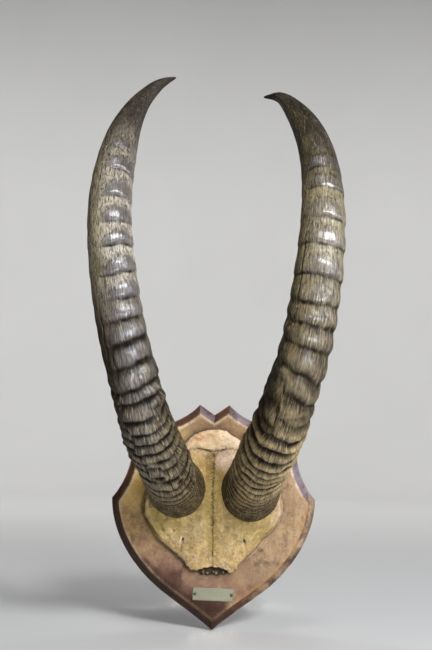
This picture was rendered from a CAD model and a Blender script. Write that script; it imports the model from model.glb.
# Looks for a pair of ringed horns on a skull cap and a wooden wall shield.
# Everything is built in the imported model's frame: metres, +Z up, -Y towards the viewer.
import math
import bpy
import numpy as np
from mathutils import Matrix, Vector
from mathutils.geometry import delaunay_2d_cdt


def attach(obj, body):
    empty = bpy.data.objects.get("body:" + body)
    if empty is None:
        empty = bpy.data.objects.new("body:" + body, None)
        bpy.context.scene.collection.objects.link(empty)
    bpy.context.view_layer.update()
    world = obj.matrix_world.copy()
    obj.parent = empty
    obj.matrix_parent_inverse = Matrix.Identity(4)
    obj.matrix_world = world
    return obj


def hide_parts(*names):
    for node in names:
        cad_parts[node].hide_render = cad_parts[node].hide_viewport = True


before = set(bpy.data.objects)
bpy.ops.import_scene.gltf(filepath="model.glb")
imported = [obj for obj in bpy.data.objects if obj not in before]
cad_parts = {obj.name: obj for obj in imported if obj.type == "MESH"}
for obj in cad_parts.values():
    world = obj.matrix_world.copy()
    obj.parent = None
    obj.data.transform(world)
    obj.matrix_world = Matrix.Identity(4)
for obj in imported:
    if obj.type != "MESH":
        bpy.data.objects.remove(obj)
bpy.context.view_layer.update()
MM = 0.001
BODY = "root"

# ============================================================================ numbers
HORN_LEFT = [
    (-46.5, -38.3, 36.0, 72), (-53.3, -77.4, 51.2, 62.6), (-59.6, -114.9, 71.2, 61.0),
    (-68.9, -150.3, 93.8, 58.9), (-77.3, -182.3, 120.8, 54.9), (-85.5, -209.3, 153.0, 51.8),
    (-94.2, -230.2, 189.3, 49.8), (-101.9, -243.9, 229.0, 48.5), (-107.9, -249.9, 270.9, 47.5),
    (-112.0, -248.0, 313.4, 46.2), (-112.4, -238.5, 355.1, 44.3), (-110.0, -222.2, 394.5, 40.9),
    (-106.4, -200.1, 431.0, 35.2), (-100.9, -173.6, 464.1, 28.6), (-94.6, -144.0, 494.4, 22.8),
    (-87.4, -112.1, 522.0, 18.6), (-80.0, -78.9, 548.0, 14.4), (-71.5, -44.4, 571.8, 9.4),
    (-61.2, -9.3, 594.1, 2.6),
]
HORN_RIGHT = [
    (46.4, -38.3, 33.8, 73.4), (50.6, -77.7, 51.0, 62.4), (56.0, -115.9, 69.2, 60.8),
    (63.6, -152.0, 90.1, 59.4), (72.3, -184.9, 115.2, 56.6), (80.6, -212.8, 145.8, 54.1),
    (90.3, -234.6, 180.7, 52.0), (97.6, -249.0, 219.7, 50.5), (103.5, -255.3, 261.0, 49.2),
    (108.1, -253.4, 303.0, 47.0), (110.4, -243.5, 344.0, 43.9), (110.1, -226.4, 382.6, 40.8),
    (107.3, -203.3, 417.9, 37.6), (103.0, -175.6, 449.6, 33.6), (97.9, -144.7, 478.0, 28.9),
    (92.7, -111.7, 504.0, 24.0), (87.7, -77.7, 528.7, 19), (78.5, -43.7, 551.5, 12.4),
    (62.0, -9.4, 567.0, 2.6),
]
# Furrows between the rings: distance from the base along the horn, in mm.
FURROWS_LEFT = [
    -9, -4, 0, 3, 6.5, 10.5, 14.5, 19, 24, 29.5, 36, 42.5, 52.5, 64, 77, 92.5, 112, 124.5, 138.5, 153, 166, 182,
    203, 216, 239.5, 262, 282.5, 303, 328, 355.5, 379, 405.5, 437, 466, 490, 520,
]
FURROWS_RIGHT = [
    -9, -4, 0, 3.5, 7.5, 12, 17, 23, 30, 38, 47, 57, 68, 80, 92, 104, 115.5, 127, 140, 155, 170, 190, 214, 240, 267,
    288.5, 309, 334, 364, 391, 425, 450, 480, 515,
]
CAP_LINE = [
    (0.4, 107.4), (12.8, 106.6), (20.8, 101.6), (31.2, 95.4), (38.5, 88.8), (52, 72), (66, 56),
    (78, 41), (84.6, 27), (87.6, 14.1), (86.3, 1.9), (78.6, -12.3), (70.5, -20.5), (61.7, -27.4),
    (54.5, -36.5), (47.0, -44.5), (41, -49.5), (35.2, -55.6), (30, -62), (25.4, -66.8),
    (21.4, -67.6), (18.6, -68.4), (15.4, -70.6), (11.2, -69.4), (7.4, -71.4), (3.6, -71.8), (0.4, -69.8), (-3.4, -71.2),
    (-7, -71.8), (-10, -70), (-13.4, -71.2), (-16.8, -68.6), (-21, -66.6), (-25.5, -65.8), (-29.6, -62.8), (-35.6, -55.8),
    (-43, -48.6), (-50.5, -42.6), (-58.2, -36.4), (-65.5, -31), (-72.6, -23.8), (-77.6, -16.5),
    (-82.2, -8.6), (-86.8, -0.4), (-88.8, 7.5), (-88.9, 16.5), (-86.8, 25.5), (-80, 40), (-66, 56),
    (-52, 72), (-38, 88.7), (-28, 99.8), (-17.2, 104.6), (-8, 106.9),
]
CAP_BACK = -20.3
PLATE = dict(w=51.2, h=15.6, x=1.2, z=-95.2, turn=math.radians(1.7), t=1.0)
PIN_SPREAD = 22.8


# ============================================================================ helpers
def hash01(i, j, k, seed):
    h = (i.astype(np.int64) * 374761393 + j.astype(np.int64) * 668265263
         + k.astype(np.int64) * 1440662683 + seed * 1274126177) & 0xFFFFFFFF
    h = ((h ^ (h >> 13)) * 1274126177) & 0xFFFFFFFF
    h = ((h ^ (h >> 15)) * 2246822519) & 0xFFFFFFFF
    return ((h ^ (h >> 16)) & 0xFFFFFF) / float(0xFFFFFF)


def noise(x, y, z, seed=0):
    """Smooth value noise, -1 to 1."""
    x, y, z = np.broadcast_arrays(np.asarray(x, float), np.asarray(y, float), np.asarray(z, float))
    i, j, k = np.floor(x), np.floor(y), np.floor(z)
    fx, fy, fz = x - i, y - j, z - k
    fx, fy, fz = (f * f * f * (f * (f * 6 - 15) + 10) for f in (fx, fy, fz))
    total = 0
    for dx in (0, 1):
        for dy in (0, 1):
            for dz in (0, 1):
                w = (fx if dx else 1 - fx) * (fy if dy else 1 - fy) * (fz if dz else 1 - fz)
                total = total + w * hash01(i + dx, j + dy, k + dz, seed)
    return total * 2 - 1


def fbm(x, y, z, seed=0, octaves=3):
    total, amp, norm, f = 0, 1.0, 0, 1.0
    for o in range(octaves):
        total = total + amp * noise(np.asarray(x) * f, np.asarray(y) * f, np.asarray(z) * f, seed + 17 * o)
        norm += amp
        amp *= 0.5
        f *= 2.03
    return total / norm


def sstep(a, b, v):
    t = np.clip((np.asarray(v, float) - a) / (b - a), 0, 1)
    return t * t * (3 - 2 * t)


def bell(v, mid, width):
    return np.exp(-((np.asarray(v, float) - mid) / width) ** 2)


def cubic(xs, ys, x):
    """Natural cubic spline."""
    xs, ys, x = np.asarray(xs, float), np.asarray(ys, float), np.asarray(x, float)
    n = len(xs)
    h = np.diff(xs)
    a = np.zeros((n, n))
    b = np.zeros(n)
    a[0, 0] = a[-1, -1] = 1
    for i in range(1, n - 1):
        a[i, i - 1], a[i, i], a[i, i + 1] = h[i - 1], 2 * (h[i - 1] + h[i]), h[i]
        b[i] = 3 * ((ys[i + 1] - ys[i]) / h[i] - (ys[i] - ys[i - 1]) / h[i - 1])
    c = np.linalg.solve(a, b)
    d = np.diff(c) / (3 * h)
    bb = np.diff(ys) / h - h * (2 * c[:-1] + c[1:]) / 3
    k = np.clip(np.searchsorted(xs, x, side="right") - 1, 0, n - 2)
    t = x - xs[k]
    return ys[k] + bb[k] * t + c[k] * t * t + d[k] * t ** 3


def unit(v):
    return v / np.linalg.norm(v, axis=-1, keepdims=True)


def piece(name, verts, faces, material, node, fields=None, vectors=None, smooth=True, sharp=None):
    """A new mesh in the row frame, from millimetres."""
    me = bpy.data.meshes.new(name)
    me.from_pydata((np.asarray(verts, float) * MM).tolist(), [], [list(f) for f in faces])
    me.update()
    me.validate()
    for key, values in (fields or {}).items():
        a = me.attributes.new(key, "FLOAT", "POINT")
        a.data.foreach_set("value", np.asarray(values, np.float32).ravel())
    for key, values in (vectors or {}).items():
        a = me.attributes.new(key, "FLOAT_VECTOR", "POINT")
        a.data.foreach_set("vector", np.asarray(values, np.float32).ravel())
    ob = bpy.data.objects.new(name, me)
    bpy.context.scene.collection.objects.link(ob)
    me.polygons.foreach_set("use_smooth", [smooth] * len(me.polygons))
    if sharp is not None:
        mark_sharp(me, sharp)
    me.materials.append(material)
    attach(ob, BODY)
    if node:
        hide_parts(node)
    return ob


def mark_sharp(me, degrees):
    import bmesh
    bm = bmesh.new()
    bm.from_mesh(me)
    limit = math.radians(degrees)
    for e in bm.edges:
        if len(e.link_faces) == 2 and e.calc_face_angle(0) > limit:
            e.smooth = False
    bm.to_mesh(me)
    bm.free()


def fill(loop, inner):
    """Triangles over a closed outline, using inner points too. Returns points (N,2) and faces."""
    pts = [Vector((float(p[0]), float(p[1]))) for p in loop] + [Vector((float(p[0]), float(p[1]))) for p in inner]
    n = len(loop)
    out = delaunay_2d_cdt(pts, [], [list(range(n))], 1, 1e-5)
    return np.array([(v.x, v.y) for v in out[0]]), [tuple(f) for f in out[2]]


def inside(poly, pts):
    x, y = pts[:, 0], pts[:, 1]
    hit = np.zeros(len(pts), bool)
    a, b = poly, np.roll(poly, -1, axis=0)
    for (x0, y0), (x1, y1) in zip(a, b):
        cross = (y0 > y) != (y1 > y)
        if y1 != y0:
            hit ^= cross & (x < (x1 - x0) * (y - y0) / (y1 - y0) + x0)
    return hit


def distance_to(poly, pts, closed=True):
    a = poly
    b = np.roll(poly, -1, axis=0) if closed else poly[1:]
    a = a if closed else a[:-1]
    best = np.full(len(pts), 1e9)
    for p, q in zip(a, b):
        d = q - p
        t = np.clip(((pts - p) @ d) / max(d @ d, 1e-9), 0, 1)
        best = np.minimum(best, np.hypot(*(pts - p - t[:, None] * d).T))
    return best


def resample(line, step, closed=True):
    p = np.vstack([line, line[:1]]) if closed else np.asarray(line)
    s = np.r_[0, np.cumsum(np.hypot(*np.diff(p, axis=0).T))]
    n = max(3, int(round(s[-1] / step)))
    t = np.linspace(0, s[-1], n + 1)
    t = t[:-1] if closed else t
    return np.stack([np.interp(t, s, p[:, i]) for i in range(p.shape[1])], -1)


def round_line(pts, step):
    """Closed centripetal curve through the points, evenly spaced."""
    p = np.asarray(pts, float)
    n = len(p)
    out = []
    for i in range(n):
        p0, p1, p2, p3 = p[(i - 1) % n], p[i], p[(i + 1) % n], p[(i + 2) % n]
        t0 = 0
        t1 = t0 + np.linalg.norm(p1 - p0) ** 0.5
        t2 = t1 + np.linalg.norm(p2 - p1) ** 0.5
        t3 = t2 + np.linalg.norm(p3 - p2) ** 0.5
        for t in np.linspace(t1, t2, 14)[:-1]:
            a1 = (t1 - t) / (t1 - t0) * p0 + (t - t0) / (t1 - t0) * p1
            a2 = (t2 - t) / (t2 - t1) * p1 + (t - t1) / (t2 - t1) * p2
            a3 = (t3 - t) / (t3 - t2) * p2 + (t - t2) / (t3 - t2) * p3
            b1 = (t2 - t) / (t2 - t0) * a1 + (t - t0) / (t2 - t0) * a2
            b2 = (t3 - t) / (t3 - t1) * a2 + (t - t1) / (t3 - t1) * a3
            out.append((t2 - t) / (t2 - t1) * b1 + (t - t1) / (t2 - t1) * b2)
    return resample(np.array(out), step)


def nrm_out(line):
    nrm = np.roll(line, -1, 0) - np.roll(line, 1, 0)
    nrm = unit(np.stack([-nrm[:, 1], nrm[:, 0]], -1))
    after = np.roll(line, -1, 0)
    area = 0.5 * np.sum(line[:, 0] * after[:, 1] - after[:, 0] * line[:, 1])
    return nrm if area < 0 else -nrm


# ============================================================================ materials
class Shade:
    """A small wrapper round a node tree."""

    def __init__(self, name):
        self.mat = bpy.data.materials.new(name)
        self.mat.use_nodes = True
        self.t = self.mat.node_tree
        self.t.nodes.clear()
        self.out = self.t.nodes.new("ShaderNodeOutputMaterial")
        self.bsdf = self.t.nodes.new("ShaderNodeBsdfPrincipled")
        self.t.links.new(self.bsdf.outputs[0], self.out.inputs[0])

    def new(self, kind, **props):
        n = self.t.nodes.new(kind)
        for k, v in props.items():
            setattr(n, k, v)
        return n

    def put(self, socket, value):
        if hasattr(value, "is_output"):
            self.t.links.new(value, socket)
        elif isinstance(value, (tuple, list)) and len(value) == 3 and socket.type == "RGBA":
            socket.default_value = (*value, 1)
        else:
            socket.default_value = value

    def attr(self, name, vector=False):
        n = self.new("ShaderNodeAttribute", attribute_name=name)
        return n.outputs["Vector" if vector else "Fac"]

    def coords(self):
        return self.new("ShaderNodeTexCoord").outputs["Object"]

    def scale(self, vec, s):
        n = self.new("ShaderNodeVectorMath", operation="MULTIPLY")
        self.put(n.inputs[0], vec)
        n.inputs[1].default_value = s if isinstance(s, (tuple, list)) else (s, s, s)
        return n.outputs[0]

    def noise(self, vec, scale, detail=3.0, rough=0.55, distort=0.0, lac=2.0):
        n = self.new("ShaderNodeTexNoise")
        self.put(n.inputs["Vector"], self.scale(vec, scale))
        n.inputs["Scale"].default_value = 1.0
        n.inputs["Detail"].default_value = detail
        n.inputs["Roughness"].default_value = rough
        n.inputs["Lacunarity"].default_value = lac
        n.inputs["Distortion"].default_value = distort
        return n.outputs["Fac"]

    def voronoi(self, vec, scale, feature="F1", randomness=1.0):
        n = self.new("ShaderNodeTexVoronoi", feature=feature)
        self.put(n.inputs["Vector"], self.scale(vec, scale))
        n.inputs["Scale"].default_value = 1.0
        n.inputs["Randomness"].default_value = randomness
        return n.outputs["Distance"]

    def m(self, op, a, b=0.0, c=0.0, clamp=False):
        n = self.new("ShaderNodeMath", operation=op, use_clamp=clamp)
        self.put(n.inputs[0], a)
        self.put(n.inputs[1], b)
        if op in ("MULTIPLY_ADD",):
            self.put(n.inputs[2], c)
        return n.outputs[0]

    def band(self, v, lo, hi, smooth=True, to=(0.0, 1.0)):
        n = self.new("ShaderNodeMapRange", interpolation_type="SMOOTHSTEP" if smooth else "LINEAR")
        self.put(n.inputs["Value"], v)
        n.inputs["From Min"].default_value = lo
        n.inputs["From Max"].default_value = hi
        n.inputs["To Min"].default_value = to[0]
        n.inputs["To Max"].default_value = to[1]
        return n.outputs["Result"]

    def mix(self, fac, a, b, blend="MIX"):
        n = self.new("ShaderNodeMix", data_type="RGBA", blend_type=blend)
        self.put(n.inputs[0], fac)
        self.put(n.inputs[6], a)
        self.put(n.inputs[7], b)
        return n.outputs[2]

    def ramp(self, v, stops, mode="LINEAR"):
        n = self.new("ShaderNodeValToRGB")
        n.color_ramp.interpolation = mode
        e = n.color_ramp.elements
        while len(e) > 1:
            e.remove(e[-1])
        e[0].position, e[0].color = stops[0][0], (*stops[0][1], 1)
        for p, c in stops[1:]:
            x = e.new(p)
            x.color = (*c, 1)
        self.put(n.inputs[0], v)
        return n.outputs[0]

    def bump(self, height, strength, distance, normal=None):
        n = self.new("ShaderNodeBump")
        n.inputs["Strength"].default_value = strength
        n.inputs["Distance"].default_value = distance
        self.put(n.inputs["Height"], height)
        if normal is not None:
            self.put(n.inputs["Normal"], normal)
        return n.outputs[0]

    def done(self, color, rough, normal=None, metallic=0.0, coat=None, spec=None):
        self.put(self.bsdf.inputs["Base Color"], color)
        self.put(self.bsdf.inputs["Roughness"], rough)
        if normal is not None:
            self.put(self.bsdf.inputs["Normal"], normal)
        self.put(self.bsdf.inputs["Metallic"], metallic)
        if coat is not None:
            self.bsdf.inputs["Coat Weight"].default_value = coat[0]
            self.bsdf.inputs["Coat Roughness"].default_value = coat[1]
        if spec is not None:
            self.bsdf.inputs["Specular IOR Level"].default_value = spec
        return self.mat


def horn_material(name, zone, crest, tips, knob, side, pale):
    """zone and crest are colours along the horn: between the rings, and on them."""
    S = Shade(name)
    g = S.attr("straight", True)  # the horn straightened out: across, across, along, in metres
    along, streak, split = S.attr("along"), S.attr("streak"), S.attr("split")
    knobs = S.attr("knob")
    col = S.mix(S.attr("crest"), S.ramp(along, zone), S.ramp(along, crest))
    # broad mottling along the fibres, darker and paler
    col = S.mix(S.band(S.noise(g, (52, 52, 17), 4, 0.62, 0.5), 0.46, 0.74, to=(0, 0.72)), col, (0.045, 0.033, 0.021))
    col = S.mix(S.band(S.noise(g, (75, 75, 30), 3, 0.6), 0.5, 0.76, to=(0, 0.42)), col, (0.32, 0.265, 0.175))
    col = S.mix(S.band(S.noise(g, (330, 330, 210), 4, 0.72, 0.3), 0.52, 0.62, to=(0, 0.45)), col, (0.040, 0.029, 0.017))
    col = S.mix(S.attr("tint"), col, side)
    # polished knobs
    polish = S.m("MULTIPLY", knobs, S.band(S.noise(g, (190, 190, 90), 3, 0.6), 0.25, 0.6, to=(0.70, 1.0)))
    col = S.mix(polish, col, knob)
    # fibres: fine dark and pale streaks that run along the horn
    f1 = S.noise(g, (980, 980, 92), 3, 0.70, 0.35)
    f2 = S.noise(g, (1700, 1700, 150), 2, 0.6)
    f3 = S.noise(g, (470, 470, 58), 3, 0.68, 0.4)
    col = S.mix(S.m("MULTIPLY", S.band(f3, 0.44, 0.32), S.band(streak, 0.3, 1, to=(0.0, 0.55))), col, pale)
    col = S.mix(S.m("MULTIPLY", S.band(f3, 0.51, 0.62), S.band(streak, 0, 1, to=(0.12, 0.80))), col, (0.022, 0.016, 0.011))
    col = S.mix(S.m("MULTIPLY", S.band(f1, 0.47, 0.32), S.band(streak, 0, 1, to=(0.10, 0.82))), col, pale)
    col = S.mix(S.m("MULTIPLY", S.band(f1, 0.51, 0.61), S.band(streak, 0, 1, to=(0.24, 0.92))), col, (0.020, 0.014, 0.009))
    # splits: thin dark lines between torn fibres
    def lines(scale, thin, seed_shift):
        n = S.noise(S.scale(g, 1.0), scale, 2, 0.5, 0.35)
        return S.band(S.m("ABSOLUTE", S.m("SUBTRACT", n, seed_shift)), 0.0, thin, to=(1, 0))
    cracks = S.m("MAXIMUM", S.m("MULTIPLY", lines((240, 240, 30), 0.018, 0.5), 0.7), S.m("MULTIPLY", lines((520, 520, 60), 0.045, 0.47), 0.85))
    cracks = S.m("MULTIPLY", cracks, S.band(S.noise(g, (120, 120, 75), 3, 0.6), 0.36, 0.56))
    cracks = S.m("MULTIPLY", cracks, split)
    col = S.mix(S.m("MULTIPLY", cracks, 0.92), col, (0.008, 0.006, 0.004))
    # furrows hold dirt and shade
    dirt = S.m("MULTIPLY", S.band(S.attr("furrow"), 0.10, 0.80), S.band(S.noise(g, (150, 150, 110), 4, 0.65), 0.30, 0.52, to=(0.42, 1.0)))
    col = S.mix(dirt, col, (0.010, 0.0075, 0.0055))
    tipped = S.m("MULTIPLY", S.attr("tipdark"), S.band(f3, 0.3, 0.62, to=(0.72, 1.0)))
    col = S.mix(tipped, col, tips)
    # dark specks and pits
    pits = S.band(S.voronoi(g, (520, 520, 170)), 0.08, 0.36, to=(1, 0))
    pits = S.m("MULTIPLY", pits, S.band(S.noise(g, (95, 95, 60), 3, 0.65), 0.38, 0.56, to=(0.12, 1.0)))
    pits = S.m("MULTIPLY", pits, S.attr("pitted"))
    col = S.mix(S.m("MULTIPLY", pits, 0.9), col, (0.016, 0.012, 0.009))
    flecks = S.band(S.noise(g, (1000, 1000, 190), 2, 0.7), 0.555, 0.64)
    flecks = S.m("MULTIPLY", flecks, S.band(S.attr("pitted"), 0.0, 1.0, to=(0.15, 0.85)))
    col = S.mix(flecks, col, (0.020, 0.015, 0.011))
    # a few bright chips near the tips and along the crests
    chip = S.band(S.noise(g, (420, 420, 90), 2, 0.6), 0.72, 0.78, to=(0, 0.6))
    col = S.mix(S.m("MULTIPLY", chip, S.band(streak, 0.0, 1.0, to=(0.4, 0.9))), col, (0.52, 0.47, 0.37))
    rough = S.m("ADD", S.attr("gloss"), S.band(f1, 0.35, 0.7, to=(-0.05, 0.12)), clamp=True)
    h = S.m("MULTIPLY", f1, S.band(streak, 0, 1, to=(-0.30, -0.95)))
    h = S.m("ADD", h, S.m("MULTIPLY", f2, 0.22))
    h = S.m("ADD", h, S.m("MULTIPLY", f3, S.band(streak, 0, 1, to=(-0.20, -0.75))))
    h = S.m("ADD", h, S.m("MULTIPLY", cracks, -0.9))
    h = S.m("ADD", h, S.m("MULTIPLY", pits, -0.45))
    h = S.m("MULTIPLY", h, S.band(S.attr("gloss"), 0.26, 0.50, to=(0.45, 1.0)))
    done = S.done(col, rough, S.bump(h, 1.0, 0.0013))
    S.put(S.bsdf.inputs["Specular IOR Level"], S.band(S.attr("gloss"), 0.32, 0.56, to=(0.50, 0.07)))
    # handled horn has a thin natural polish over the fibres
    worn_through = S.m("MULTIPLY", S.band(f3, 0.30, 0.62, to=(1.0, 0.50)), S.band(f1, 0.40, 0.60, to=(1.0, 0.35)))
    S.put(S.bsdf.inputs["Coat Weight"], S.m("MULTIPLY", S.attr("polish"), worn_through))
    S.bsdf.inputs["Coat Roughness"].default_value = 0.28
    S.bsdf.inputs["Coat IOR"].default_value = 2.2
    S.put(S.bsdf.inputs["Coat Normal"], S.bump(S.m("ADD", f3, S.m("MULTIPLY", S.noise(g, (170, 170, 90), 2, 0.6), 1.3)), 0.80, 0.0007))
    return done


def bone_material():
    S = Shade("aged_bone")
    o = S.coords()
    col = S.mix(S.band(S.noise(o, 34, 4, 0.62, 0.4), 0.38, 0.68), (0.60, 0.412, 0.174), (0.455, 0.290, 0.100))
    col = S.mix(S.band(S.noise(o, 85, 3, 0.62), 0.48, 0.72, to=(0, 0.7)), col, (0.72, 0.56, 0.35))
    col = S.mix(S.band(S.noise(o, 58, 4, 0.68, 0.5), 0.52, 0.72, to=(0, 0.55)), col, (0.36, 0.22, 0.085))
    col = S.mix(S.attr("pale"), col, (0.86, 0.73, 0.56))
    col = S.mix(S.attr("pink"), col, (0.84, 0.66, 0.56))
    stain = S.m("MULTIPLY", S.attr("olive"), S.band(S.noise(o, 120, 4, 0.65, 0.4), 0.25, 0.62, to=(0.45, 1.1)), clamp=True)
    col = S.mix(S.m("MULTIPLY", stain, 0.86), col, (0.35, 0.25, 0.058))
    col = S.mix(S.m("MULTIPLY", S.attr("yellow"), S.band(S.noise(o, 90, 3, 0.6), 0.3, 0.6, to=(0.5, 1.0)), clamp=True), col, (0.45, 0.325, 0.085))
    col = S.mix(S.m("MULTIPLY", S.attr("rust"), S.band(S.noise(o, 160, 4, 0.65), 0.35, 0.6), clamp=True), col, (0.42, 0.17, 0.045))
    # pores and speckle
    pores = S.band(S.voronoi(o, 620), 0.05, 0.30, to=(1, 0))
    where = S.m("MULTIPLY", S.attr("porous"), S.band(S.noise(o, 95, 3, 0.6), 0.38, 0.62))
    pores = S.m("MULTIPLY", pores, where, clamp=True)
    col = S.mix(S.m("MULTIPLY", pores, 0.75), col, (0.20, 0.115, 0.035))
    crackle = S.band(S.m("ABSOLUTE", S.m("SUBTRACT", S.noise(o, 330, 3, 0.6, 0.6), 0.5)), 0.0, 0.035, to=(1, 0))
    crackle = S.m("MULTIPLY", crackle, S.band(S.noise(o, 120, 3, 0.6), 0.42, 0.62))
    col = S.mix(S.m("MULTIPLY", crackle, S.band(S.attr("porous"), 0.1, 0.9, to=(0.25, 0.75))), col, (0.27, 0.15, 0.055))
    col = S.mix(S.band(S.noise(o, 210, 4, 0.72, 0.3), 0.52, 0.62, to=(0, 0.42)), col, (0.40, 0.245, 0.095))
    col = S.mix(S.band(S.noise(o, 240, 4, 0.72, 0.3), 0.53, 0.64, to=(0, 0.42)), col, (0.76, 0.62, 0.42))
    speck = S.band(S.noise(o, 640, 4, 0.75), 0.54, 0.64)
    col = S.mix(S.m("MULTIPLY", speck, S.band(S.attr("porous"), 0.0, 1.0, to=(0.25, 0.70))), col, (0.29, 0.165, 0.062))
    col = S.mix(S.m("MULTIPLY", S.band(S.noise(o, 300, 3, 0.65), 0.55, 0.70), 0.28), col, (0.78, 0.65, 0.46))
    col = S.mix(S.attr("seam"), col, (0.155, 0.080, 0.027))
    col = S.mix(S.attr("crack"), col, (0.045, 0.032, 0.010))
    col = S.mix(S.attr("gape"), col, (0.028, 0.016, 0.007))
    col = S.mix(S.attr("chips"), col, (0.44, 0.33, 0.20))
    h = S.m("ADD", S.m("MULTIPLY", pores, -1.0), S.m("MULTIPLY", S.noise(o, 240, 4, 0.65), 0.9))
    h = S.m("ADD", h, S.m("MULTIPLY", S.noise(o, 900, 2, 0.6), 0.35))
    h = S.m("ADD", h, S.m("MULTIPLY", crackle, -0.5))
    rough = S.band(S.noise(o, 140, 3, 0.6), 0.3, 0.7, to=(0.50, 0.72))
    return S.done(col, rough, S.bump(h, 1.0, 0.0017), spec=0.32)


def wood_material():
    S = Shade("stained_wood")
    o = S.coords()
    grain = S.noise(o, (210, 210, 12), 4, 0.65, 0.5)
    fine = S.noise(o, (950, 950, 40), 3, 0.6)
    # varnished stain under everything
    stain = S.mix(S.band(grain, 0.35, 0.7), (0.078, 0.034, 0.017), (0.036, 0.016, 0.009))
    stain = S.mix(S.band(S.noise(o, 70, 4, 0.62, 0.4), 0.48, 0.72, to=(0, 0.6)), stain, (0.14, 0.062, 0.033))
    # dry dusty surface over it
    dusty = S.mix(S.band(S.noise(o, 33, 4, 0.6, 0.3), 0.35, 0.68), (0.385, 0.258, 0.143), (0.265, 0.170, 0.092))
    dusty = S.mix(S.band(S.noise(o, 60, 4, 0.65, 0.5), 0.50, 0.72, to=(0, 0.5)), dusty, (0.21, 0.115, 0.065))
    dusty = S.mix(S.band(grain, 0.52, 0.72, to=(0, 0.4)), dusty, (0.20, 0.12, 0.06))
    dusty = S.mix(S.attr("ochre"), dusty, (0.56, 0.385, 0.115))
    dusty = S.mix(S.band(S.noise(o, 300, 3, 0.65), 0.56, 0.72, to=(0, 0.45)), dusty, (0.50, 0.40, 0.28))
    dusty = S.mix(S.band(S.noise(o, 170, 5, 0.7, 0.4), 0.50, 0.66, to=(0, 0.5)), dusty, (0.17, 0.095, 0.048))
    cover = S.m("ADD", S.attr("dust"), S.m("MULTIPLY", S.m("SUBTRACT", S.noise(o, 62, 5, 0.65, 0.3), 0.5), 1.3))
    col = S.mix(S.band(cover, 0.30, 0.72), stain, dusty)
    purple = S.m("MULTIPLY", S.attr("purple"), S.band(S.noise(o, 60, 4, 0.65), 0.34, 0.62, to=(0.30, 1.0)))
    col = S.mix(purple, col, (0.185, 0.092, 0.066))
    col = S.mix(S.m("MULTIPLY", S.attr("umber"), S.band(S.noise(o, 80, 4, 0.65), 0.28, 0.60, to=(0.5, 1.0))), col, (0.029, 0.013, 0.010))
    col = S.mix(S.m("MULTIPLY", S.attr("red"), S.band(S.noise(o, 110, 3, 0.6), 0.3, 0.6, to=(0.5, 1.0))), col, (0.15, 0.04, 0.02))
    speck = S.band(S.noise(o, 380, 4, 0.72), 0.58, 0.70, to=(0, 0.6))
    col = S.mix(speck, col, (0.10, 0.05, 0.03))
    # worn edges: rubbed through to pale wood
    worn = S.m("MULTIPLY", S.attr("worn"), S.band(S.noise(o, (260, 260, 260), 3, 0.6), 0.30, 0.55, to=(0.25, 1.0)))
    col = S.mix(worn, col, (0.60, 0.47, 0.33))
    col = S.mix(S.m("MULTIPLY", S.attr("amber"), S.band(S.noise(o, 240, 4, 0.7), 0.36, 0.58, to=(0.15, 1.0))), col, (0.33, 0.150, 0.036))
    col = S.mix(S.attr("black"), col, (0.02, 0.011, 0.007))
    bloom = S.m("MULTIPLY", S.attr("bloom"), S.band(S.noise(o, 90, 4, 0.65), 0.30, 0.62, to=(0.45, 1.0)))
    col = S.mix(bloom, col, (0.235, 0.195, 0.235))
    col = S.mix(S.attr("contact"), col, (0.035, 0.018, 0.010))
    rough = S.m("ADD", S.attr("gloss"), S.band(grain, 0.3, 0.7, to=(-0.05, 0.1)), clamp=True)
    h = S.m("ADD", S.m("MULTIPLY", grain, 0.6), S.m("MULTIPLY", fine, 0.5))
    h = S.m("ADD", h, S.m("MULTIPLY", S.noise(o, 330, 3, 0.6), 0.5))
    done = S.done(col, rough, S.bump(h, 0.5, 0.0007))
    S.put(S.bsdf.inputs["Specular IOR Level"], S.band(S.attr("shine"), 0.0, 1.0, to=(0.10, 0.6)))
    return done


def brass_material(name, base, dark, rough):
    S = Shade(name)
    o = S.coords()
    col = S.mix(S.band(S.noise(o, 120, 3, 0.6), 0.3, 0.7), base, tuple(0.86 * c for c in base))
    brushed = S.noise(o, (120, 900, 2600), 2, 0.5)
    col = S.mix(S.band(brushed, 0.5, 0.75, to=(0, 0.35)), col, tuple(min(1, 1.25 * c) for c in base))
    col = S.mix(S.band(S.noise(o, 420, 3, 0.6), 0.55, 0.8, to=(0, 0.35)), col, dark)
    col = S.mix(S.attr("tarnish"), col, dark)
    r = S.band(S.noise(o, 350, 3, 0.6), 0.3, 0.7, to=(rough, rough + 0.16))
    return S.done(col, r, S.bump(S.m("ADD", brushed, S.noise(o, 500, 3, 0.6)), 0.25, 0.0002), metallic=0.55)


# ============================================================================ horns
def horn_path(ctrl):
    p = np.array(ctrl, float)
    t = np.r_[0, np.cumsum(np.linalg.norm(np.diff(p[:, :3], axis=0), axis=1))]
    tt = np.linspace(0, t[-1], 6000)
    xyz = np.stack([cubic(t, p[:, i], tt) for i in range(3)], -1)
    s = np.r_[0, np.cumsum(np.linalg.norm(np.diff(xyz, axis=0), axis=1))]
    d = np.interp(tt, t, p[:, 3])
    k = np.ones(161) / 161
    pad = np.pad(d, 80, mode="edge")
    smooth_d = np.convolve(pad, k, "valid")
    w = sstep(0, 40, s) * (1 - sstep(s[-1] - 60, s[-1] - 10, s))
    d = d * (1 - w) + smooth_d * w
    return xyz, s, d


def ring_cells(u, g):
    """Which ring a height along the horn falls in, and how far up in it, 0 to 1."""
    k = np.clip(np.searchsorted(g, u) - 1, 0, len(g) - 2)
    room = g[k + 1] - g[k]
    return k, room, np.clip((u - g[k]) / room, 0, 1)


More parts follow.
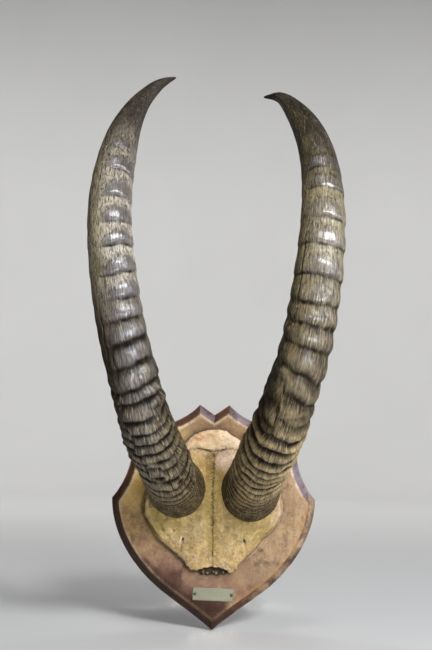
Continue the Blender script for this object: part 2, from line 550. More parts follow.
def make_horn(name, node, ctrl, furrows, inner, material, P):
    """inner is +1 where the other horn lies towards +X, and -1 where it lies towards -X."""
    xyz, arc, dia = horn_path(ctrl)
    L = arc[-1]
    ns, nt = 648, 152
    lo = -2.4
    # rows are closer together near the base, where the rings are fine
    q = np.linspace(0, 1, ns)
    s = lo + (L - 0.05 - lo) * (q * 0.80 + 0.20 * q * q)
    at = lambda col: np.interp(s, arc, col)
    c = np.stack([at(xyz[:, i]) for i in range(3)], -1)
    tan = unit(np.gradient(xyz, arc, axis=0))
    T = unit(np.stack([at(tan[:, i]) for i in range(3)], -1))
    below = s < 0
    c[below] = xyz[0] + T[0] * s[below][:, None]
    r = at(dia) / 2
    X = np.array([1.0, 0, 0])
    ex = unit(X - (T @ X)[:, None] * T)
    F = -np.cross(T, ex)
    theta = np.linspace(-math.pi, math.pi, nt, endpoint=False)
    th = theta[None, :]
    ss = s[:, None]
    table = lambda key: np.interp(ss, *zip(*P[key]))
    turn = lambda deg: (th - np.radians(deg) + math.pi) % (2 * math.pi) - math.pi
    # normal of each ring's plane: the seat's plane at the base, square to the horn further up
    lean = sstep(P["lean"][0], P["lean"][1], s)[:, None]
    n = unit((1 - lean) * np.array([0.0, -1.0, 0.0]) + lean * T)
    rr = r[:, None]
    cx, cz = np.cos(th) * rr, np.sin(th) * rr
    N = lambda a, b, k_: noise(cx / a, cz / a, ss / b, P["seed"] + k_)
    # ---- rings: they waver, and lower down they break up and fork
    wob = table("wob") * (N(25, 58, 1) + 0.55 * N(9.5, 19, 2) + 0.30 * N(4.2, 9, 3))
    u = ss + wob - table("tilt") * rr * np.sin(th)
    g = np.array(furrows, float)
    g2 = np.r_[g[0], g[:-1] + 0.46 * np.diff(g), g[-1]]
    fork = sstep(0.14, 0.40, N(17, 38, 4)) * sstep(P["fork"][0], P["fork"][0] + 30, ss) * (1 - sstep(P["fork"][1] - 30, P["fork"][1], ss))
    fork = np.maximum(fork, sstep(-0.05, 0.25, N(13, 9, 6)) * (1 - sstep(26, 44, ss)))
    amp = table("amp")
    rugged = sstep(30, 70, ss) * (1 - sstep(225, 290, ss))
    knobby = sstep(P["knobby"][0], P["knobby"][1], ss)
    window, mid = table("window"), table("middle")
    W = np.exp(-np.abs(turn(0) * 0 + (th - np.radians(mid) + math.pi) % (2 * math.pi) - math.pi) ** 3.0 / np.radians(window) ** 3.0)
    back = P["back"]
    W = back + (1 - back) * W
    present = sstep(-8, 10, ss) * (1 - sstep(g[-2] - 14, g[-2] + 16, ss))

    def profile(cells):
        k, room, t = ring_cells(u, cells)
        each = 0.72 + 0.56 * hash01(k, k * 0, k * 0, P["seed"] + 5)
        # lower down: round ridges between soft furrows
        soft = np.clip(np.sin(math.pi * t ** P["skew"]), 0, 1) ** P["round"]
        # further up: knobs with an abrupt lower edge that die away upwards
        rise = sstep(0, 1, t * room / np.minimum(0.22 * room, 4.2))
        fall = 1 - sstep(0.34, 0.86, t)
        f = soft + (rise * fall - soft) * knobby
        edge = np.minimum(t, 1 - t) * room
        under = t * room
        return f, each, edge, under, room, t

    fa, ea, da, ua, room, t = profile(g)
    fb, eb, db, ub, room_b, t_b = profile(g2)
    f = fa + (fb - fa) * fork
    each = ea + (eb - ea) * fork
    # ridges come and go round the horn
    broken = 1 + (0.14 + P["ragged"] * rugged) * np.clip(N(8.5, 13, 9) * 1.35, -1, 0.9)
    h = amp * each * W * present * broken * (f - 0.46)
    # ---- furrow and crest masks
    fw = np.clip(room * 0.15, 0.8, 2.6)
    soft_dirt = np.exp(-(da / (fw * (P["gap"] + 0.5 * N(6, 8, 12)))) ** 2)
    soft_b = np.exp(-(db / (fw * P["gap"])) ** 2)
    soft_dirt = soft_dirt + (soft_b - soft_dirt) * fork
    line = np.exp(-(np.clip(ua - 0.6, 0, None) / 1.7) ** 2) + 0.8 * np.exp(-((room - ua) / 1.6) ** 2)
    soft_dirt = soft_dirt * (0.80 + 0.5 * N(8, 10, 13))
    line = line * (0.82 + 0.6 * N(9, 14, 14))
    furrow = (soft_dirt + (line - soft_dirt) * knobby) * present * np.clip(W * 1.45 - 0.35, 0, 1) * table("dirt")
    crest = np.clip((f - 0.42) * 2.0, 0, 1) * np.clip(W * 1.15 - 0.1, 0, 1) * present
    front = np.exp(-np.abs(((th - np.radians(mid) + math.pi) % (2 * math.pi) - math.pi) / np.radians(P["front"])) ** 3)
    crest = crest * (1 - sstep(150, 200, ss) * (1 - front))
    # ---- polished knobs further up
    kw, km = table("knob_wide"), table("middle")
    kside = np.exp(-np.abs(((th - np.radians(km) + math.pi) % (2 * math.pi) - math.pi) / np.radians(kw)) ** 2.6)
    t_top = 0.58 + 0.16 * N(10, 200, 15)
    arch = np.clip(1.12 * kside - 0.06, 0, 1) ** 0.8 * (1 + 0.22 * N(5, 200, 19))
    inside_knob = sstep(-0.02, 0.05, t) * (1 - sstep(t_top * arch - 0.10, t_top * arch + 0.04, t))
    knob = inside_knob * sstep(0.02, 0.35, kside) * table("knob") * present * np.clip(0.95 + 0.3 * N(5, 6, 16), 0, 1)
    # a dark rim round each knob's upper edge
    rim = np.exp(-((t - t_top * arch - 0.05 - 0.05 * N(1.3, 60, 20)) * room / 3.0) ** 2) * sstep(0.02, 0.4, kside) * table("knob") * present
    furrow = np.maximum(furrow, 0.60 * rim * np.clip(0.80 + 1.0 * N(1.3, 9, 17), 0, 1))
    # ---- fibres and flakes
    streak = np.clip(table("streak") + 0.28 * N(13, 60, 11), 0, 1)
    split = np.clip(table("split") + 0.35 * N(16, 50, 18), 0, 1) * (1 - 0.8 * knob)
    fib = fbm(cx / 3.3, cz / 3.3, ss / 34, P["seed"] + 21, 3)
    torn = np.abs(noise(cx / 4.6, cz / 4.6, ss / 24, P["seed"] + 25))
    flake = N(5.2, 11, 31)
    h = h + (0.08 + 0.24 * streak) * fib * sstep(-4, 3, ss) * (1 - 0.7 * knob)
    h = h - 0.32 * split * np.exp(-(torn / 0.20) ** 2) * sstep(P["torn"], P["torn"] + 60, ss) * (1 - sstep(300, 380, ss))
    h = h + rugged * P["flake"] * (0.50 * np.maximum(0, flake) - 0.30 * np.maximum(0, -flake))
    h = h + 0.6 * noise(np.cos(th) * 1.6, np.sin(th) * 1.6, ss / 62, P["seed"] + 41) * sstep(20, 120, ss) * (1 - sstep(L - 200, L - 60, ss))
    dark_split = 0.42 * split * np.exp(-(torn / 0.13) ** 2) * sstep(P["torn"], P["torn"] + 60, ss) * (1 - sstep(280, 350, ss))
    furrow = np.maximum(furrow, dark_split * (0.6 + 0.6 * N(5, 9, 33)))
    # long drying cracks
    crack = np.zeros_like(u)
    for (deg, s0, s1, w_, depth) in P["cracks"]:
        where = np.radians(deg) + 0.05 * noise(ss / 30, 0, 0, P["seed"] + 51) + 0.03 * noise(ss / 7, 3, 0, P["seed"] + 52)
        dd = np.abs((th - where + math.pi) % (2 * math.pi) - math.pi) * rr
        m_ = np.exp(-(dd / w_) ** 2) * sstep(s0 - 14, s0 + 10, ss) * (1 - sstep(s1 - 10, s1 + 14, ss))
        h = h - depth * m_
        crack = np.maximum(crack, m_)
    furrow = np.clip(np.maximum(furrow, 0.9 * crack), 0, 1)
    # the side turned from the light is grimier
    grime = table("grime") * sstep(8, 66, np.degrees(th) * P["grime_side"]) * (1 - sstep(120, 160, np.abs(np.degrees(th))))
    furrow = np.maximum(furrow, grime * (1 - 0.35 * crest) * np.clip(0.9 + 0.5 * N(7, 14, 91), 0, 1))
    R = np.maximum(rr + h, rr * 0.6)
    # rounded tip
    tip = np.sqrt(np.clip(1 - np.clip((ss - (L - P["tip"])) / P["tip"], 0, 1) ** 2, 0, 1))
    R = R * tip + 0.02
    e = np.cos(th)[..., None] * F[:, None, :] + inner * np.sin(th)[..., None] * ex[:, None, :]
    off_ = e * R[..., None]
    slide = np.einsum("ijk,ik->ij", off_, n) / np.einsum("ik,ik->i", T, n)[:, None]
    pts = c[:, None, :] + off_ - slide[..., None] * T[:, None, :]
    verts = pts.reshape(-1, 3)
    i, j = np.meshgrid(np.arange(ns - 1), np.arange(nt), indexing="ij")
    a = i * nt + j
    b = i * nt + (j + 1) % nt
    quads = np.stack([a, b, b + nt, a + nt], -1).reshape(-1, 4)
    # which way round: the faces must look outwards
    flip = inner > 0
    quads = quads[:, ::-1] if flip else quads
    faces = quads.tolist()
    s0, s1 = len(verts), len(verts) + 1
    verts = np.vstack([verts, c[0], xyz[-1]])
    last = (ns - 1) * nt
    for m_ in range(nt):
        w_ = (m_ + 1) % nt
        lo_ = (s0, w_, m_) if not flip else (s0, m_, w_)
        hi_ = (s1, last + m_, last + w_) if not flip else (s1, last + w_, last + m_)
        faces += [lo_, hi_]
    two = lambda field: np.r_[np.broadcast_to(field, u.shape).ravel(), 0, 0]
    straight = np.stack([(cx * 1.0), (cz * 1.0), ss + 0 * th], -1).reshape(-1, 3) * MM
    straight = np.vstack([straight, [0, 0, 0], [0, 0, L * MM]])
    tint = table("tint") * np.exp(-np.abs(turn(P["tint_at"]) / np.radians(P["tint_wide"])) ** 3)
    tint = tint * (1 - 0.75 * furrow) * np.clip(0.72 + 0.55 * N(12, 55, 61), 0, 1)
    facing = np.exp(-np.abs(((th - np.radians(mid) + math.pi) % (2 * math.pi) - math.pi) / np.radians(62)) ** 3)
    polish = table("polish") * np.exp(-np.abs(((th - np.radians(mid) + math.pi) % (2 * math.pi) - math.pi) / np.radians(50)) ** 3) * (0.30 + 0.70 * np.clip(np.maximum(knob * 1.2, crest), 0, 1)) * (1 - np.clip(furrow * 1.2, 0, 1)) * np.clip(1 + 0.35 * N(9, 16, 81), 0, 1)
    gloss = 0.58 + (table("gloss") - 0.58) * facing
    gloss = gloss + 0.20 * furrow - 0.06 * crest * (1 - knob)
    gloss = gloss + (P["knob_gloss"] - gloss) * np.clip(knob * 1.2, 0, 1)
    tipdark = table("tipdark") * np.clip(0.80 + 0.75 * fbm(cx / 7, cz / 7, ss / 46, P["seed"] + 71, 3), 0, 1)
    tipdark = tipdark * (1 - P["tippale"][1] * np.exp(-np.abs(turn(P["tippale"][0]) / 0.7) ** 2) * sstep(L - 280, L - 190, ss) * (1 - sstep(L - 90, L - 30, ss)))
    fields = dict(
        polish=two(np.clip(polish, 0, 1)), along=two(np.clip(ss / L, 0, 1)), crest=two(crest), furrow=two(furrow), streak=two(streak), split=two(split),
        knob=two(np.clip(knob, 0, 1)), pitted=two(np.clip(table("pitted") * (1 - 0.75 * knob) + 0.7 * rim, 0, 1)),
        tint=two(np.clip(tint, 0, 1)), gloss=two(np.clip(gloss, 0.22, 0.95)), tipdark=two(np.clip(tipdark, 0, 1)),
    )
    return piece(name, verts, faces, material, node, fields, {"straight": straight})


LEFT = dict(
    seed=11, gap=1.55, round=0.95, skew=0.72, ragged=0.58, front=46, grime_side=-1,
    grime=[(0, 0.15), (100, 0.30), (190, 0.55), (285, 0.50), (325, 0.05), (800, 0)], lean=(10, 190), back=0.16, tip=3.0, fork=(60, 215), torn=70, flake=1.0,
    wob=[(0, 0.5), (20, 1.2), (60, 2.3), (120, 2.5), (200, 2.6), (260, 2.2), (320, 1.5), (520, 1.5)],
    tilt=[(0, 0), (60, 0), (160, 0.05), (300, 0.08), (420, 0.02)],
    amp=[(0, 0.35), (20, 0.6), (45, 1.7), (80, 3.4), (130, 4.1), (170, 3.9), (230, 3.4), (300, 2.8), (380, 2.5), (440, 1.8), (490, 0.7), (520, 0.2), (800, 0)],
    window=[(0, 175), (120, 150), (190, 92), (250, 66), (330, 58), (480, 52)],
    middle=[(0, 0), (150, 12), (220, 26), (300, 32), (480, 34)],
    knobby=(268, 318),
    knob_wide=[(0, 60), (280, 44), (420, 40), (500, 55)],
    dirt=[(0, 0.20), (30, 0.40), (70, 1.0), (250, 1.0), (330, 0.85), (520, 0.6)],
    streak=[(0, 0.45), (50, 0.65), (100, 0.85), (200, 0.85), (260, 0.50), (330, 0.36), (450, 0.40), (560, 0.5), (800, 0.45)],
    split=[(0, 0.05), (50, 0.25), (110, 0.8), (210, 0.9), (270, 0.5), (330, 0.30), (480, 0.4), (600, 0.4), (800, 0.2)],
    pitted=[(0, 0.2), (240, 0.35), (290, 0.85), (480, 1.0), (540, 0.8), (800, 0.4)],
    tint=[(0, 0.0), (120, 0.05), (210, 0.12), (285, 0.15), (330, 0.75), (430, 0.75), (500, 0.25), (560, 0.0)], tint_at=-72, tint_wide=55,
    knob=[(0, 0), (285, 0), (315, 0.85), (470, 0.9), (505, 0.3), (530, 0)], knob_gloss=0.31,
    polish=[(0, 0.12), (50, 0.30), (80, 0.60), (110, 0.75), (170, 0.9), (210, 1.0), (310, 1.0), (460, 1.0), (500, 0.45), (560, 0.14), (800, 0.10)],
    gloss=[(0, 0.56), (60, 0.46), (120, 0.40), (180, 0.36), (225, 0.33), (300, 0.34), (330, 0.42), (500, 0.44), (560, 0.50), (800, 0.50)],
    tipdark=[(0, 0), (455, 0), (500, 0.55), (560, 0.86), (620, 0.95), (800, 1.0)], tippale=(-50, 0.35),
    cracks=[(-38, 235, 300, 0.7, 0.9), (-62, 205, 262, 0.7, 0.8), (-22, 222, 268, 0.6, 0.6), (20, 70, 120, 0.5, 0.5), (-20, 110, 165, 0.6, 0.7)],
)
RIGHT = dict(
    seed=47, gap=1.20, round=1.25, skew=0.80, ragged=0.34, front=60, grime_side=1,
    grime=[(0, 0.40), (60, 0.62), (180, 0.60), (260, 0.42), (330, 0.20), (480, 0.12), (800, 0.1)], lean=(30, 240), back=0.2, tip=4.5, fork=(165, 250), torn=140, flake=0.7,
    wob=[(0, 0.5), (14, 1.0), (50, 1.7), (110, 2.2), (200, 4.2), (260, 3.4), (320, 1.8), (520, 1.5)],
    tilt=[(0, 0), (60, 0), (150, 0.08), (195, 0.28), (250, 0.30), (300, 0.04)],
    amp=[(0, 0.35), (14, 0.6), (32, 2.2), (60, 4.0), (110, 4.8), (170, 4.2), (200, 2.6), (250, 2.7), (300, 2.4), (380, 1.9), (440, 1.2), (480, 0.5), (520, 0.1), (800, 0)],
    window=[(0, 175), (120, 150), (220, 125), (300, 100), (400, 80), (480, 75)],
    middle=[(0, 0), (150, 0), (260, -6), (480, -8)],
    knobby=(285, 335),
    knob_wide=[(0, 60), (300, 34), (420, 44), (500, 75)],
    dirt=[(0, 0.20), (24, 0.40), (55, 1.0), (170, 1.0), (205, 0.55), (255, 0.6), (300, 0.9), (330, 0.8), (520, 0.5)],
    streak=[(0, 0.26), (50, 0.22), (120, 0.28), (185, 0.52), (260, 0.52), (340, 0.42), (450, 0.42), (560, 0.5), (800, 0.45)],
    split=[(0, 0.05), (50, 0.15), (130, 0.4), (220, 0.6), (290, 0.5), (360, 0.4), (480, 0.4), (600, 0.4), (800, 0.2)],
    pitted=[(0, 0.2), (240, 0.45), (290, 0.8), (440, 0.95), (540, 0.8), (800, 0.4)],
    tint=[(0, 0.0), (150, 0.12), (240, 0.4), (330, 0.8), (450, 0.85), (520, 0.6), (600, 0.35), (690, 0.1)], tint_at=62, tint_wide=58,
    knob=[(0, 0), (295, 0), (330, 0.55), (400, 0.55), (420, 0.95), (470, 0.9), (510, 0.3), (540, 0)], knob_gloss=0.32,
    polish=[(0, 0.10), (60, 0.30), (150, 0.35), (220, 0.40), (265, 0.7), (320, 0.85), (460, 0.9), (500, 0.40), (560, 0.14), (800, 0.10)],
    gloss=[(0, 0.58), (120, 0.50), (220, 0.46), (270, 0.37), (420, 0.36), (500, 0.44), (560, 0.50), (800, 0.50)],
    tipdark=[(0, 0), (432, 0), (462, 0.60), (520, 0.84), (600, 0.95), (800, 1.0)], tippale=(62, 0.5),
    cracks=[(50, 285, 372, 0.7, 1.1), (74, 300, 350, 0.6, 0.6), (-15, 60, 110, 0.5, 0.5), (30, 180, 230, 0.6, 0.7)],
)
horn_left_mat = horn_material(
    "horn_sheath_left",
    zone=[(0.0, (0.060, 0.040, 0.017)), (0.08, (0.048, 0.031, 0.012)), (0.27, (0.024, 0.016, 0.007)), (0.345, (0.040, 0.028, 0.019)),
          (0.395, (0.20, 0.165, 0.128)), (0.44, (0.45, 0.398, 0.312)), (0.52, (0.45, 0.398, 0.312)), (0.57, (0.37, 0.325, 0.252)), (0.61, (0.26, 0.22, 0.165)), (0.68, (0.075, 0.059, 0.042)), (1.0, (0.035, 0.028, 0.022))],
    crest=[(0.0, (0.16, 0.112, 0.050)), (0.08, (0.29, 0.207, 0.095)), (0.18, (0.20, 0.145, 0.068)), (0.24, (0.16, 0.125, 0.082)), (0.29, (0.145, 0.122, 0.116)),
           (0.40, (0.165, 0.145, 0.146)), (0.46, (0.18, 0.158, 0.138)), (0.62, (0.13, 0.105, 0.08)), (1.0, (0.05, 0.04, 0.03))],
    tips=(0.022, 0.017, 0.013), knob=(0.074, 0.063, 0.062), side=(0.27, 0.22, 0.10), pale=(0.44, 0.355, 0.215),
)
horn_right_mat = horn_material(
    "horn_sheath_right",
    zone=[(0.0, (0.034, 0.022, 0.009)), (0.1, (0.020, 0.013, 0.005)), (0.3, (0.032, 0.021, 0.009)), (0.37, (0.085, 0.061, 0.029)),
          (0.42, (0.22, 0.176, 0.100)), (0.48, (0.26, 0.217, 0.130)), (0.56, (0.25, 0.207, 0.12)), (0.60, (0.13, 0.10, 0.056)), (0.68, (0.040, 0.030, 0.018)), (1.0, (0.018, 0.013, 0.009))],
    crest=[(0.0, (0.13, 0.09, 0.038)), (0.045, (0.25, 0.177, 0.080)), (0.10, (0.48, 0.345, 0.163)), (0.22, (0.46, 0.333, 0.16)), (0.29, (0.20, 0.144, 0.068)), (0.37, (0.18, 0.136, 0.076)),
           (0.44, (0.26, 0.218, 0.152)), (0.56, (0.20, 0.166, 0.115)), (0.66, (0.06, 0.045, 0.028)), (1.0, (0.028, 0.021, 0.014))],
    tips=(0.010, 0.0075, 0.0055), knob=(0.072, 0.060, 0.051), side=(0.20, 0.152, 0.058), pale=(0.48, 0.375, 0.205),
)
horn_left = make_horn("horn_left_sheath", "horn_left", HORN_LEFT, FURROWS_LEFT, +1, horn_left_mat, LEFT)
horn_right = make_horn("horn_right_sheath", "horn_right", HORN_RIGHT, FURROWS_RIGHT, -1, horn_right_mat, RIGHT)


# ============================================================================ shield
def bezier(p0, p1, p2, p3, n):
    t = np.linspace(0, 1, n)[:, None]
    return (1 - t) ** 3 * p0 + 3 * (1 - t) ** 2 * t * p1 + 3 * (1 - t) * t * t * p2 + t ** 3 * p3


def shield_runs():
    """The outline as runs between its corners, clockwise from the notch at the top."""
    P = lambda *a: np.array(a, float)
    half = [
        np.linspace(P(0, 127), P(19.3, 140.3), 20),
        bezier(P(19.3, 140.3), P(36, 121), P(70, 107), P(109, 107), 80),
        bezier(P(109, 107), P(101, 82), P(108, 46), P(130, 20.5), 80),
        np.vstack([bezier(P(130, 20.5), P(129.5, -22), P(103, -64), P(64, -93.5), 110),
                   bezier(P(64, -93.5), P(45, -107.5), P(22, -122), P(0, -140), 66)[1:]]),
    ]
    return half + [(r * [-1, 1])[::-1] for r in half[::-1]]


def inset_runs(runs, width):
    """Steps every run in by width and cuts it off where it meets the next one, so that corners stay mitred."""
    stepped = []
    for r in runs:
        t = unit(np.gradient(r, axis=0))
        n = np.stack([t[:, 1], -t[:, 0]], -1)  # clockwise outline: inwards is to the right
        o = r + n * width
        stepped.append(np.vstack([o[0] - t[0] * 40, o, o[-1] + t[-1] * 40]))
    k = len(runs)
    ends = []
    for i in range(k):
        a, b = stepped[i], stepped[(i + 1) % k]
        corner = runs[i][-1]
        best = None
        p, r = a[:-1], np.diff(a, axis=0)
        for q, d in zip(b[:-1], np.diff(b, axis=0)):
            den = r[:, 0] * d[1] - r[:, 1] * d[0]
            ok = np.abs(den) > 1e-12
            w = q - p
            with np.errstate(divide="ignore", invalid="ignore"):
                u = (w[:, 0] * d[1] - w[:, 1] * d[0]) / den
                v = (w[:, 0] * r[:, 1] - w[:, 1] * r[:, 0]) / den
            for m in np.nonzero(ok & (u >= 0) & (u <= 1) & (v >= 0) & (v <= 1))[0]:
                x = p[m] + u[m] * r[m]
                dist = np.hypot(*(x - corner))
                if best is None or dist < best[0]:
                    best = (dist, x)
        ends.append(best[1] if best else corner)
    out = []
    for i in range(k):
        a, start, end = stepped[i], ends[i - 1], ends[i]
        s = np.r_[0, np.cumsum(np.hypot(*np.diff(a, axis=0).T))]
        def where(x):
            seg, L = np.diff(a, axis=0), np.diff(s)
            t = np.clip(np.einsum("ij,ij->i", x - a[:-1], seg) / np.maximum(L ** 2, 1e-12), 0, 1)
            d = np.hypot(*(a[:-1] + t[:, None] * seg - x).T)
            m = int(np.argmin(d))
            return s[m] + t[m] * L[m]
        t = np.linspace(where(start), where(end), len(runs[i]))
        line = np.stack([np.interp(t, s, a[:, j]) for j in (0, 1)], -1)
        line[0], line[-1] = start, end
        out.append(line[:-1])
    return np.vstack(out)


def make_shield():
    runs = shield_runs()
    mitre = lambda _, width: inset_runs(runs, max(width, 1e-4))
    line = None
    n = sum(len(r) - 1 for r in runs)
    # levels: inset from the outline, depth from the wall
    levels = [(0.5, 0.0), (0.12, 0.15), (0.0, 0.6), (0.0, 4.5), (0.0, 8.2), (0.12, 8.8), (0.5, 9.25), (1.1, 9.85)]
    for f in np.linspace(0.14, 0.92, 7):
        levels.append((0.55 + (10.4 - 0.55) * f, 9.3 + 10.7 * f))
    levels += [(9.9, 19.45), (10.35, 19.78), (10.8, 19.93), (11.3, 19.99)]
    verts, faces, fields = [], [], {k: [] for k in ("inset", "depth")}
    rng = np.arange(n)
    for inset, depth in levels:
        ring = mitre(line, inset)
        wear = 0.0
        if 7 < depth < 9.4 or depth > 19.3:
            wear = 0.28 * np.clip(noise(ring[:, 0] / 7, ring[:, 1] / 7, depth / 30, 71) - 0.1, 0, 1)
        y = -depth + wear * (1 if depth > 5 else 0)
        verts.append(np.stack([ring[:, 0], y + 0 * ring[:, 0], ring[:, 1]], -1))
        fields["inset"].append(np.full(n, inset))
        fields["depth"].append(np.full(n, depth))
    rows = len(levels)
    for k in range(rows - 1):
        for i in range(n):
            j = (i + 1) % n
            faces.append((k * n + i, k * n + j, (k + 1) * n + j, (k + 1) * n + i))
    verts = [np.vstack(verts)]
    count = rows * n
    ins, dep = [np.concatenate(fields["inset"])], [np.concatenate(fields["depth"])]
    # front face
    edge = mitre(line, 11.3)
    step = 2.5
    gx, gz = np.meshgrid(np.arange(-125, 126, step), np.arange(-136, 140, step * 0.87))
    gx = gx + (np.arange(gz.shape[0]) % 2)[:, None] * step / 2
    grid = np.stack([gx.ravel(), gz.ravel()], -1)
    grid = grid + 0.35 * np.stack([noise(grid[:, 0] / 3, grid[:, 1] / 3, 0, 3), noise(grid[:, 0] / 3, grid[:, 1] / 3, 9, 4)], -1)
    # closer points where the bone's rim meets the board
    rim_line = round_line(CAP_LINE, 1.2)
    out_ = nrm_out(rim_line)
    more = np.vstack([rim_line + out_ * k_ + 0.2 * hash01(np.arange(len(rim_line)), np.arange(len(rim_line)) * 0, np.full(len(rim_line), k_), 9)[:, None]
                      for k_ in (-2, 0, 1, 2, 3, 5, 7)])
    far = distance_to(rim_line, grid)
    grid = np.vstack([grid[(far > 8.5) | (inside(rim_line, grid) & (far > 4))], more])
    grid = grid[inside(edge, grid)]
    grid = grid[distance_to(edge, grid) > 1.0]
    p2, tri = fill(edge, grid)
    y = -20.0 - 0.10 * noise(p2[:, 0] / 45, p2[:, 1] / 45, 0, 5) * sstep(0.5, 6, distance_to(edge, p2)) + 0.0
    y = np.maximum(y, -20.15)
    front = np.stack([p2[:, 0], y, p2[:, 1]], -1)
    near = distance_to(edge, p2)
    front[near < 1e-3, 1] = -19.99
    verts.append(front)
    ins.append(11.3 + near)
    dep.append(np.full(len(p2), 20.0))
    faces += [tuple(v + count for v in f) for f in tri]
    count += len(p2)
    # flat back
    back = mitre(line, 0.5)
    b2, tri = fill(back, np.zeros((0, 2)))
    verts.append(np.stack([b2[:, 0], 0 * b2[:, 0], b2[:, 1]], -1))
    ins.append(np.full(len(b2), 30.0))
    dep.append(np.full(len(b2), 0.0))
    faces += [tuple(v + count for v in f) for f in tri]
    verts = np.vstack(verts)
    ins, dep = np.concatenate(ins), np.concatenate(dep)
    x, z = verts[:, 0], verts[:, 2]
    # ---- where the finish is dusty, worn, stained
    n1 = fbm(x / 30, z / 30, 0, 81, 3)
    n2 = fbm(x / 11, z / 11, 0, 82, 3)
    face = dep > 19.6
    bevel = (dep > 9.0) & (dep <= 19.6)
    pts = np.stack([x, z], -1)
    rimd = distance_to(rim_line, pts)
    contact = face * np.exp(-(rimd / 2.2) ** 2) * np.where(x < 0, 1.0, 0.6) * (0.75 + 0.4 * n2)
    contact = np.maximum(contact, face * 0.45 * np.exp(-rimd / 6.0) * np.where((x < 10) | (z < -50), 1.0, 0.3))
    dust = np.where(face, 0.86, 0.0) + 0.22 * n1 * face
    low = 1 - sstep(-122, -84, z + 0.45 * x + 12 * n1)
    rosy = (1 - sstep(-70, 2, z + 0.85 * x + 16 * n1)) * sstep(40, -5, z)
    dust = dust - face * (0.92 * low + 0.18 * rosy + 0.13 * sstep(30, 80, x))
    dust = dust + bevel * (0.34 * sstep(10, 60, x) * (1 - sstep(20, 60, z)) + 0.08 + 0.25 * np.clip(n2, 0, 1))
    ochre = face * (sstep(-25, -75, x) * sstep(-70, -5, z) * 0.95 + 0.35 * np.clip(n1, 0, 1))
    purple = face * np.clip(0.80 * rosy + 0.30 * n2 * rosy, 0, 1)
    red = face * (bell(x, 43, 9) * bell(z, 96, 9) * 1.2 + 0.5 * bell(x, -60, 10) * bell(z, 66, 20)) + 0.5 * bevel * np.clip(n2, 0, 1)
    right = sstep(5, 55, x)
    arris = np.exp(-((ins - 10.5) / 1.5) ** 2) * (dep > 9.3)
    worn = arris * (0.55 + 0.6 * sstep(-20, 80, z)) * (1 - 0.7 * right * (1 - sstep(0, 30, z))) * (0.45 + 0.55 * sstep(-130, -60, z))
    worn = worn * np.clip(0.85 + 0.7 * n2, 0, 1.2)
    rub = np.exp(-((ins - 5.6) / 3.2) ** 2) * bevel * right * (1 - sstep(16, 30, z)) * (0.34 + 0.4 * n2) * sstep(-132, -40, z)
    worn = np.clip(np.maximum(worn, rub), 0, 1)
    outer = np.exp(-((ins - 0.3) / 0.8) ** 2) * (dep > 7) * (dep < 11)
    worn = np.clip(worn + 0.55 * outer * np.clip(n2 + 0.35, 0, 1), 0, 1)
    amber = np.exp(-((ins - 11.0 - 0.8 * n2) / 1.5) ** 2) * (dep > 9.3) * right * (1 - sstep(14, 26, z)) * np.clip(0.75 + 0.9 * n2, 0, 1)
    amber = np.maximum(amber, 0.55 * arris * (1 - right) * (1 - sstep(-60, 0, z)) * np.clip(0.6 + n2, 0, 1))
    black = np.exp(-((ins - 0.0) / 1.0) ** 2) * (dep > 3) * (dep < 9.2) * 0.4
    deep = bevel * (1 - right) * (1 - sstep(-30, 70, z)) * 0.60 * np.clip(1 - 0.5 * n2, 0, 1)
    black = np.clip(np.maximum(black, deep), 0, 1)
    black = np.maximum(black, face * 0.55 * low * np.exp(-(ins - 11.3) / 9.0))
    umber = face * 1.0 * low
    # facets that look up and to the right carry a cool bloom; the ones that look left stay dark
    upright = sstep(-0.1, 0.25, np.where(np.abs(x) < 21, np.where((x > -19.3) & (x < 0) | (x > 19.3), 1.0, -1.0), np.sign(x))) * sstep(14, 30, z)
    bloom = bevel * upright * np.clip(0.62 + 0.5 * n2, 0, 1) * (1 - 0.6 * np.exp(-((ins - 10.5) / 1.2) ** 2))
    shine = np.where(face, 0.35 * (1 - 0.85 * low), np.where(bevel, 0.08 + 0.75 * upright, 0.1))
    gloss = np.where(face, 0.58, 0.40 - 0.10 * upright) + 0.1 * n2
    gloss = np.where(dep < 8.9, 0.45, gloss)
    fields = dict(dust=np.clip(dust, 0, 1), ochre=np.clip(ochre, 0, 1), purple=np.clip(purple, 0, 1), red=np.clip(red, 0, 1),
                  worn=worn, umber=np.clip(umber, 0, 1), bloom=np.clip(bloom, 0, 1), shine=np.clip(shine, 0, 1), amber=np.clip(amber, 0, 1), black=black, contact=np.clip(contact, 0, 1), gloss=np.clip(gloss, 0.2, 0.9))
    ob = piece("shield_board", verts, faces, wood_material(), "shield", fields)
    tidy(ob, 32)
    return ob


def tidy(ob, degrees, merge=1e-6):
    """Welds the seams, turns the faces outwards and marks the hard edges."""
    import bmesh
    bm = bmesh.new()
    bm.from_mesh(ob.data)
    bmesh.ops.remove_doubles(bm, verts=bm.verts, dist=merge)
    bmesh.ops.recalc_face_normals(bm, faces=bm.faces)
    limit = math.radians(degrees)
    for e in bm.edges:
        if len(e.link_faces) == 2 and e.calc_face_angle(0) > limit:
            e.smooth = False
    for f in bm.faces:
        f.smooth = True
    bm.to_mesh(ob.data)
    bm.free()


shield = make_shield()


# ============================================================================ skull cap
def lerp_table(table, v):
    a = np.array(table, float)
    return np.interp(v, a[:, 0], a[:, 1])


def suture(z, seed, wide, fast):
    """Zigzag of a bone suture: offset across it, at a distance along it."""
    return wide * (noise(z / fast, 0, 0, seed) * 1.2 + 0.6 * noise(z / (fast * 0.42), 5, 0, seed + 1))


def horn_clear(x, z):
    """Distance outside the horn bases' rims, negative under a horn."""
    best = np.full(x.shape, 1e9)
    for cx_, cz_ in ((-46.5, 36.0), (46.4, 33.8)):
        best = np.minimum(best, np.hypot((x - cx_) / 37.0, (z - cz_) / 40.5) * 38.5 - 38.5)
    return best


